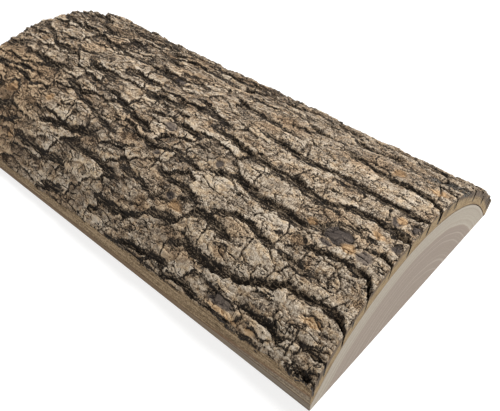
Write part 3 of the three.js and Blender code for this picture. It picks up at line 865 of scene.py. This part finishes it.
def side_face(shell, bark, column, low_v, flip):
    """The bark's face on a long side: fibres and slanting cracks on the near one, rough on the far one."""
    near = column == 0
    rows = bark.along[:, :1]
    down = np.linspace(0, 1, FACE_ROWS + 1)[None, :]
    face = mix(bark.outer[:, column, None], bark.inner[:, column, None], down[..., None])
    height = face[..., 2]
    ones = np.ones_like(height)
    crumbs = field("side_crumbs", rows, height)
    if near:
        upper = ease(0.35, 0.05, down + 0.18 * field("side_upper", rows, height))
        slant_field = field("side_slant", rows + 2.2 * height, height - 0.3 * rows)
        slant = level_crack(slant_field, (LENGTH / BARK_ROWS, 0.8), 0.5)
        slant *= ease(0.15, 0.4, field("side_slanted", rows, height))
        slant *= ease(0.75, 0.5, down)
        dent = 0.12 + 0.1 * field("side_fibres", rows, height) + 0.8 * slant
        dent += 0.9 * upper * (0.6 + 0.4 * crumbs)
        values = {name: mask[:, column, None] * ones for name, mask in bark.masks.items()}
        # The bark's dark mask, painted shade and shadows included, runs a little way down from the top of the
        # face
        reach = 0.06 + 0.16 * ease(-0.2, 0.5, field("side_stain", rows, 0.5))
        stain = values["dark"] * (1 - ease(0.4 * reach, reach, down + 0.1 * crumbs))
        scab = patch(rows * ones, height, SIDE_SCAB, crumbs, 0.5)
        scab *= ease(-0.6, 0.2, field("side_scab", rows, height))
        crumbled = upper * ease(0.1, 0.6, crumbs)
        values["dark"] = np.maximum.reduce([stain, 0.9 * slant, crumbled, 0.8 * scab])
    else:
        dent = 1.3 + 1.1 * crumbs + 0.5 * field("far_side_dents", rows, height)
        values = {name: 0 * ones for name in bark.masks}
        values["tone"] = 0.42 + 0.16 * field("far_side_tone", rows, height) + 0.2 * crumbs
        values["dark"] = ease(0.15, 0.6, field("far_side_dark", rows, height) - 0.3 * crumbs)
        values["platy"] = ones
    from_edge = np.minimum(down, 1 - down) * 2
    fade = ease(0, 0.12, from_edge) * ease(0, 1.5, np.minimum(rows, LENGTH - rows))
    face[..., 1] += np.clip(dent, 0, 2.6) * fade * (1 if near else -1)
    values["long_side"] = ones
    arc, rise = bark.unrolled[:, column, None, 1], bark.unrolled[:, column, None, 2]
    values["unrolled"] = np.stack([rows * ones, arc * ones, rise * (1 - down)], -1)
    for part, box in halves(low_v, (0.965 - low_v - UV_GAP) / 2):
        shell.grid(face[part], {name: value[part] for name, value in values.items()}, box, int(near), flip)


# Wood: a lens under the round boundary, with its edges eased by a fraction of a millimetre
def ring_level(y, z):
    """0 on the round edge of the heart and 1 under the bark: circles whose middle moves with their size."""
    drop = HEART_CENTRE_Z - LOG_CENTRE["z"]
    growth = WOOD_RADIUS - HEART_RADIUS
    across, up = y - LOG_CENTRE["y"], z - HEART_CENTRE_Z
    a = growth**2 - drop**2
    b = 2 * (HEART_RADIUS * growth - drop * up)
    c = HEART_RADIUS**2 - across**2 - up**2
    return (-b + np.sqrt(np.maximum(b**2 - 4 * a * c, 0))) / (2 * a)


def wood_values(points):
    x, y, z = np.moveaxis(points, -1, 0)
    wave = 0.035 * field("ring_drift", x, y) + 0.02 * field("ring_wave", x, y)
    return {"ring": ring_level(y, z) + wave, "place": points}


def wood_block(materials):
    ease = WOOD_EDGE_EASE
    stations = np.concatenate([[0, ease], np.linspace(4, LENGTH - 4, WOOD_ROWS), [LENGTH - ease, LENGTH]])
    shares = np.linspace(0, 1, WOOD_COLUMNS + 1)
    levels = np.linspace(0, 1, WOOD_LEVELS + 1)[:, None]
    inset = np.where((stations == 0) | (stations == LENGTH), ease, 0)[:, None]
    top = boundary_point(WOOD_RADIUS, shares[None, :], stations[:, None])
    top[..., 1] = np.maximum(top[..., 1], NEAR_FACE_Y + inset)
    top[..., 2] = np.maximum(top[..., 2] - inset, inset)
    bottom = top.copy()
    bottom[..., 2] = inset
    shell = Shell()
    sheets = [
        (top, 0.965, 0.995, False),
        (bottom, 0.585, 0.955, True),
        (mix(top[0, :, None], bottom[0, :, None], levels), 0.005, 0.285, False),
        (mix(top[-1, :, None], bottom[-1, :, None], levels), 0.295, 0.575, True),
        (mix(top[:, :1], bottom[:, :1], levels), 0.957, 0.963, True),
    ]
    for points, low_v, high_v, flip in sheets:
        shell.grid(points, wood_values(points), (U_FROM, low_v, U_TO, high_v), 0, flip)
    return shell.build("sawn_wood", materials)


# Materials
def linear(red, green, blue):
    """A colour given as 0 to 255 in sRGB, for a shader."""
    shares = [value / 255 for value in (red, green, blue)]
    return [s / 12.92 if s <= 0.04045 else ((s + 0.055) / 1.055) ** 2.4 for s in shares] + [1]


class Look:
    """A material, and short ways to add nodes to it."""

    def __init__(self, name):
        self.material = bpy.data.materials.new(name)
        self.material.use_nodes = True
        self.nodes = self.material.node_tree.nodes
        self.links = self.material.node_tree.links
        self.shader = self.nodes["Principled BSDF"]

    def node(self, kind, inputs, output=0, **settings):
        made = self.nodes.new(kind)
        for name, value in settings.items():
            setattr(made, name, value)
        for key, value in inputs.items():
            if isinstance(value, bpy.types.NodeSocket):
                self.links.new(value, made.inputs[key])
            else:
                made.inputs[key].default_value = value
        return made.outputs[output]

    def attribute(self, name, output="Fac"):
        return self.node("ShaderNodeAttribute", {}, output, attribute_name=name)

    def axis(self, vector, number):
        return self.node("ShaderNodeSeparateXYZ", {0: vector}, number)

    def math(self, operation, a, b=0.0, c=0.0):
        return self.node("ShaderNodeMath", {0: a, 1: b, 2: c}, operation=operation)

    def times(self, first, *others):
        for other in others:
            first = self.math("MULTIPLY", first, other)
        return first

    def most(self, a, b):
        return self.math("MAXIMUM", a, b)

    def total(self, start, *parts):
        """A start plus some values, each given before its weight."""
        for value, weight in zip(parts[::2], parts[1::2]):
            start = self.math("MULTIPLY_ADD", value, weight, start)
        return start

    def less(self, mask, share=1.0):
        """1 where the mask is 0, and less by the share where it is 1."""
        return self.total(1.0, mask, -share)

    def scaled(self, vector, scale):
        return self.node("ShaderNodeVectorMath", {0: vector, 1: scale}, operation="MULTIPLY")

    def noise(self, vector, scale, detail=3.0, roughness=0.55):
        """Noise on a vector in mm. scale is features per mm along each axis."""
        inputs = {"Vector": self.scaled(vector, scale), "Scale": 1.0}
        return self.node("ShaderNodeTexNoise", inputs | {"Detail": detail, "Roughness": roughness})

    def cracks(self, vector, scale, half_width):
        """1 on the borders of random cells, 0 elsewhere. half_width is in cells."""
        inputs = {"Vector": self.scaled(vector, scale), "Scale": 1.0}
        border = self.node("ShaderNodeTexVoronoi", inputs, feature="DISTANCE_TO_EDGE")
        return self.less(self.curve(border, 0.0, half_width))

    def ramp(self, value, stops):
        made = self.nodes.new("ShaderNodeValToRGB")
        elements = made.color_ramp.elements
        while len(elements) < len(stops):
            elements.new(0.5)
        for element, (position, colour) in zip(elements, stops):
            element.position = position
            element.color = linear(*colour)
        self.links.new(value, made.inputs[0])
        return made.outputs[0]

    def curve(self, value, start, end):
        inputs = {"Value": value, "From Min": start, "From Max": end}
        return self.node("ShaderNodeMapRange", inputs, interpolation_type="SMOOTHSTEP")

    def near_level(self, value, level, inner, outer):
        """1 within inner of a level, falling to 0 at outer."""
        return self.less(self.curve(self.math("ABSOLUTE", self.total(-level, value, 1.0)), inner, outer))

    def blend(self, share, a, b):
        return self.node("ShaderNodeMix", {0: share, 6: a, 7: b}, 2, data_type="RGBA")

    def finish(self, colour, roughness, height, depth_mm):
        inputs = {"Strength": 1.0, "Distance": depth_mm * MM, "Height": height}
        self.links.new(colour, self.shader.inputs["Base Color"])
        self.links.new(roughness, self.shader.inputs["Roughness"])
        self.links.new(self.node("ShaderNodeBump", inputs), self.shader.inputs["Normal"])
        self.shader.inputs["Specular IOR Level"].default_value = 0.25
        return self.material


# Shader noise: (features per mm along, across and up, detail, roughness)
BARK_NOISE = {
    "speckle": ((0.7, 0.5, 0.6), 3.0, 0.65),
    "grit": ((1.4, 1.4, 1.4), 1.0, 0.5),
    "ripple": ((0.9, 0.22, 0.5), 3.0, 0.6),
    "fibre": ((0.12, 1.1, 0.6), 2.0, 0.5),
    "crumbly": ((0.07, 0.11, 0.0), 2.0),
    "lined": ((0.13, 0.2, 0.0), 2.0),
    "warmer": ((0.16, 0.26, 0.2), 5.0, 0.75),
}
SAWN_BARK_NOISE = {
    "streak": ((0.018, 0.1, 0.8), 4.0, 0.7),
    "fine": ((0.08, 0.5, 1.9), 3.0, 0.7),
    "speckle": ((0.8, 0.8, 0.8), 3.0, 0.6),
}

# Colours from dark to light: (place on the ramp, sRGB from 0 to 255)
BARK_RAMPS = {
    "greyer": [
        (0.0, (48, 43, 38)),
        (0.2, (94, 82, 70)),
        (0.45, (142, 127, 109)),
        (0.7, (167, 152, 133)),
        (0.95, (198, 184, 165)),
    ],
    "warmer": [
        (0.0, (52, 41, 31)),
        (0.2, (101, 81, 61)),
        (0.45, (146, 123, 97)),
        (0.7, (170, 147, 118)),
        (0.95, (202, 180, 150)),
    ],
    "brown": [(0.05, (54, 42, 31)), (0.45, (133, 109, 84)), (0.9, (192, 166, 134))],
    "weathered": [(0.05, (58, 54, 49)), (0.5, (118, 111, 102)), (0.95, (166, 158, 148))],
    "ochre": [(0.05, (76, 55, 36)), (0.5, (171, 138, 101)), (0.95, (218, 189, 152))],
    "purple": [(0.05, (42, 37, 35)), (0.5, (80, 71, 65)), (0.95, (126, 113, 101))],
    "pit": [(0.37, (30, 25, 20)), (0.52, (44, 37, 30)), (0.61, (74, 62, 50)), (0.7, (150, 132, 110))],
}
SAWN_BARK_RAMPS = {
    "end": [(0.62, (94, 76, 52)), (0.82, (130, 108, 78)), (0.98, (153, 131, 97)), (1.0, (158, 137, 104))],
    "side": [(0.05, (84, 66, 46)), (0.35, (122, 101, 74)), (0.65, (147, 125, 95)), (0.95, (172, 150, 119))],
    "wedge": [(0.1, (96, 84, 68)), (0.5, (132, 117, 97)), (0.9, (162, 146, 124))],
    "pit": [(0.3, (28, 25, 23)), (0.7, (62, 54, 48))],
}
SAWN_BARK_COLOURS = {"red_streak": (116, 84, 62), "outer": (92, 78, 66), "cambium": (104, 80, 60)}
WOOD_RAMPS = {
    "sap": [(0.3, (152, 142, 128)), (0.7, (172, 162, 146))],
    "heart": [(0.3, (133, 119, 107)), (0.7, (152, 138, 125))],
    "side_greyer": [(0.3, (100, 88, 73)), (0.5, (126, 113, 97)), (0.7, (148, 136, 120))],
    "side_browner": [(0.3, (98, 77, 54)), (0.5, (120, 97, 71)), (0.7, (138, 115, 87))],
}
RING_COLOURS = {"dark": (138, 123, 110), "light": (181, 170, 156)}

# Rings of the heart that stand out: (depth inside its edge, half width, strength, colour). The first two
# are shares of ring_level.
HEART_BANDS = [
    (0.02, 0.05, 0.55, (138, 119, 104)),
    (0.16, 0.14, 0.4, (146, 130, 118)),
    (0.4, 0.05, 0.5, (178, 166, 152)),
    (0.52, 0.06, 0.35, (144, 129, 117)),
]


def bark_material():
    look = Look("bark_surface")
    unrolled = look.attribute("unrolled", "Vector")
    grain = {name: look.noise(unrolled, *settings) for name, settings in BARK_NOISE.items()}
    speckle, grit, ripple = grain["speckle"], grain["grit"], grain["ripple"]
    platy = look.attribute("platy")
    scar = look.most(look.attribute("purple"), look.attribute("ochre"))

    # Fine lines that the mesh is too coarse for
    swirl = look.node("ShaderNodeTexNoise", {"Vector": unrolled, "Scale": 0.35, "Detail": 3.0}, 1)
    bend = {0: swirl, 1: (9.0, 6.0, 3.0), 2: unrolled}
    bent = look.node("ShaderNodeVectorMath", bend, operation="MULTIPLY_ADD")
    scales = look.times(look.cracks(bent, (0.11, 0.2, 0.05), 0.05), look.curve(grain["lined"], 0.44, 0.56))
    crumbly = look.curve(grain["crumbly"], 0.42, 0.56)
    crumbs = look.times(look.cracks(bent, (0.42, 0.26, 0.1), 0.1), crumbly, 0.25)
    lines = look.times(look.most(scales, crumbs), look.less(scar, 0.9))

    tone = look.total(-1.61, speckle, 0.6, grit, 1.6, ripple, 1.0)
    tone = look.total(tone, look.curve(grit, 0.6, 0.7), 0.2, look.curve(grit, 0.4, 0.3), -0.12)
    tone = look.times(tone, look.less(scar, 0.7), look.less(platy, 0.35))
    # The tone attribute holds painted shade and painted highlights from the relief
    tone = look.math("ADD", tone, look.attribute("tone"))
    colours = {name: look.ramp(tone, stops) for name, stops in BARK_RAMPS.items() if name != "pit"}
    colour = look.blend(look.curve(grain["warmer"], 0.45, 0.62), colours["greyer"], colours["warmer"])
    for mask in ("brown", "weathered", "ochre", "purple"):
        colour = look.blend(look.attribute(mask), colour, colours[mask])

    # Furrow floors, gaps and cracks, with fibres in them and ragged edges
    pit = look.ramp(look.total(-0.3, grit, 0.7, grain["fibre"], 1.0, platy, -0.05), BARK_RAMPS["pit"])
    # The dark mask also holds painted shade in crevices and painted shadows at plate, flake and scar edges
    dark = look.most(look.attribute("dark"), look.times(lines, 0.85))
    ragged = look.total(-0.25, grit, 0.5, dark, 1.0)
    colour = look.blend(look.curve(ragged, 0.34, 0.5), colour, pit)
    height = look.total(0.0, speckle, 1.0, grit, 0.6, ripple, 0.4, lines, -0.5)
    return look.finish(colour, look.total(0.78, speckle, 0.2), height, 0.5)


def sawn_bark_material():
    look = Look("sawn_bark")
    unrolled = look.attribute("unrolled", "Vector")
    streak, fine, speckle = (look.noise(unrolled, *settings) for settings in SAWN_BARK_NOISE.values())
    along, arc, rise = (look.axis(unrolled, number) for number in range(3))
    long_side = look.attribute("long_side")
    grain = look.total(0.0, fine, 0.7, streak, 0.9, speckle, 0.25)
    end = look.ramp(grain, SAWN_BARK_RAMPS["end"])

    # On the near side a greyer wedge lies below a slanting red-brown streak
    side_grain = look.total(-2.335, grain, 2.2, speckle, 1.6)
    level = look.total(-1.5, along, 0.1, rise, 1.0, streak, 3.0)
    side = look.ramp(side_grain, SAWN_BARK_RAMPS["side"])
    wedge = look.less(look.curve(level, 6.6, 7.6))
    side = look.blend(wedge, side, look.ramp(side_grain, SAWN_BARK_RAMPS["wedge"]))
    red_streak = look.times(look.near_level(level, 7.6, 0.3, 1.6), 0.6)
    side = look.blend(red_streak, side, linear(*SAWN_BARK_COLOURS["red_streak"]))
    colour = look.blend(long_side, end, side)

    # On the ends the outermost bark is greyer, most of all towards the far side
    outer = look.total(-4.5, rise, 1.0, speckle, 9.0, look.curve(arc, 30.0, 70.0), 3.2)
    outer = look.times(look.curve(outer, 7.6, 9.6), look.total(0.85, long_side, -0.85))
    colour = look.blend(outer, colour, linear(*SAWN_BARK_COLOURS["outer"]))
    cambium = look.less(look.curve(rise, 0.1, 0.7))
    colour = look.blend(cambium, colour, linear(*SAWN_BARK_COLOURS["cambium"]))
    dark = look.total(-0.3, speckle, 0.6, look.attribute("dark"), 1.0)
    colour = look.blend(look.curve(dark, 0.3, 0.7), colour, look.ramp(speckle, SAWN_BARK_RAMPS["pit"]))
    return look.finish(colour, look.total(0.75, fine, 0.15), grain, 0.25)


def sawn_wood_material():
    look = Look("sawn_wood")
    place = look.attribute("place", "Vector")
    from_middle, across = look.axis(place, 0), look.axis(place, 1)
    fibre = look.noise(place, (0.02, 1.6, 1.6), 4.0, 0.6)
    cloud = look.noise(place, (0.01, 0.06, 0.06), 2.0)
    ring = look.total(-0.06, cloud, 0.12, look.attribute("ring"), 1.0)
    ring_place = look.node("ShaderNodeCombineXYZ", {0: ring, 1: look.times(across, 0.002)})
    bands = look.noise(ring_place, (7.0, 1.0, 0.0), 3.0, 0.65)
    wood = {name: look.ramp(fibre, stops) for name, stops in WOOD_RAMPS.items()}

    colour = look.blend(look.curve(ring, -0.09, 0.02), wood["heart"], wood["sap"])
    shade = look.times(look.curve(bands, 0.5, 0.66), 0.5)
    colour = look.blend(shade, colour, linear(*RING_COLOURS["dark"]))
    shine = look.times(look.curve(bands, 0.48, 0.34), 0.5)
    colour = look.blend(shine, colour, linear(*RING_COLOURS["light"]))
    for inside, reach, strength, tint in HEART_BANDS:
        band = look.times(look.near_level(ring, -inside, 0.0, reach), strength)
        colour = look.blend(band, colour, linear(*tint))

    # The near long side is browner towards the far end
    side = look.less(look.curve(across, NEAR_FACE_Y + 0.05, NEAR_FACE_Y + 0.3))
    towards_end = look.curve(from_middle, 60.0, 150.0)
    colour = look.blend(side, colour, look.blend(towards_end, wood["side_browner"], wood["side_greyer"]))
    return look.finish(colour, look.total(0.6, fibre, 0.2), look.total(0.0, fibre, 1.0, bands, 0.5), 0.08)


# Stage
FLOOR = {"reach": 4.0, "colour": (170, 170, 169), "roughness": 0.9, "glow": 0.72}
LIGHTS = [
    {"name": "key", "place": (0.45, 1.05, 1.8), "size": 1.3, "power": 58.0},
    {"name": "fill", "place": (1.7, -0.7, 1.2), "size": 1.4, "power": 6.0},
]
LIGHT_TARGET = (0, 0, 0.03)
WORLD_STRENGTH = 0.38
CAMERA = {
    "place": (0.2616, -0.2399, 0.2966),
    "forward": (-0.4891, 0.5408, -0.6843),
    "up": (-0.4570, 0.5094, 0.7292),
    "lens": 43.9,
    "sensor": 36.0,
}


def make_floor():
    material = bpy.data.materials.new("floor")
    material.use_nodes = True
    shader = material.node_tree.nodes["Principled BSDF"]
    shader.inputs["Base Color"].default_value = linear(*FLOOR["colour"])
    shader.inputs["Roughness"].default_value = FLOOR["roughness"]
    shader.inputs["Emission Color"].default_value = (1, 1, 1, 1)
    shader.inputs["Emission Strength"].default_value = FLOOR["glow"]
    mesh = bpy.data.meshes.new("floor")
    reach = FLOOR["reach"]
    corners = [(-reach, -reach, 0), (reach, -reach, 0), (reach, reach, 0), (-reach, reach, 0)]
    mesh.from_pydata(corners, [], [(0, 1, 2, 3)])
    mesh.materials.append(material)
    floor = bpy.data.objects.new("floor", mesh)
    bpy.context.scene.collection.objects.link(floor)


def area_light(name, place, size, power):
    data = bpy.data.lights.new(name, "AREA")
    data.shape = "DISK"
    data.size = size
    data.energy = power
    light = bpy.data.objects.new(name, data)
    light.location = place
    light.rotation_euler = (Vector(LIGHT_TARGET) - Vector(place)).to_track_quat("-Z", "Y").to_euler()
    bpy.context.scene.collection.objects.link(light)


def make_camera():
    data = bpy.data.cameras.new("camera")
    data.lens = CAMERA["lens"]
    data.sensor_width = CAMERA["sensor"]
    data.clip_start = 0.01
    forward = Vector(CAMERA["forward"]).normalized()
    right = forward.cross(Vector(CAMERA["up"])).normalized()
    up = right.cross(forward)
    camera = bpy.data.objects.new("camera", data)
    columns = [[*right, 0], [*up, 0], [*-forward, 0], [*CAMERA["place"], 1]]
    camera.matrix_world = Matrix(columns).transposed()
    bpy.context.scene.collection.objects.link(camera)
    bpy.context.scene.camera = camera


def make_world():
    world = bpy.data.worlds.new("studio")
    world.use_nodes = True
    background = world.node_tree.nodes["Background"]
    background.inputs["Color"].default_value = (1, 1, 1, 1)
    background.inputs["Strength"].default_value = WORLD_STRENGTH
    bpy.context.scene.world = world


bark = BarkGrid()
for step in STEPS:
    step(bark)
bark_looks = [bark_material(), sawn_bark_material()]
for number in range(len(STRIPS)):
    piece = bark_strip(bark, number, bark_looks)
    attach(piece, "root")
    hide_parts("bark")

wood = wood_block([sawn_wood_material()])
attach(wood, "root")
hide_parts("wood")

make_floor()
for light in LIGHTS:
    area_light(**light)
make_world()
make_camera()
bpy.context.scene.view_settings.view_transform = "Standard"
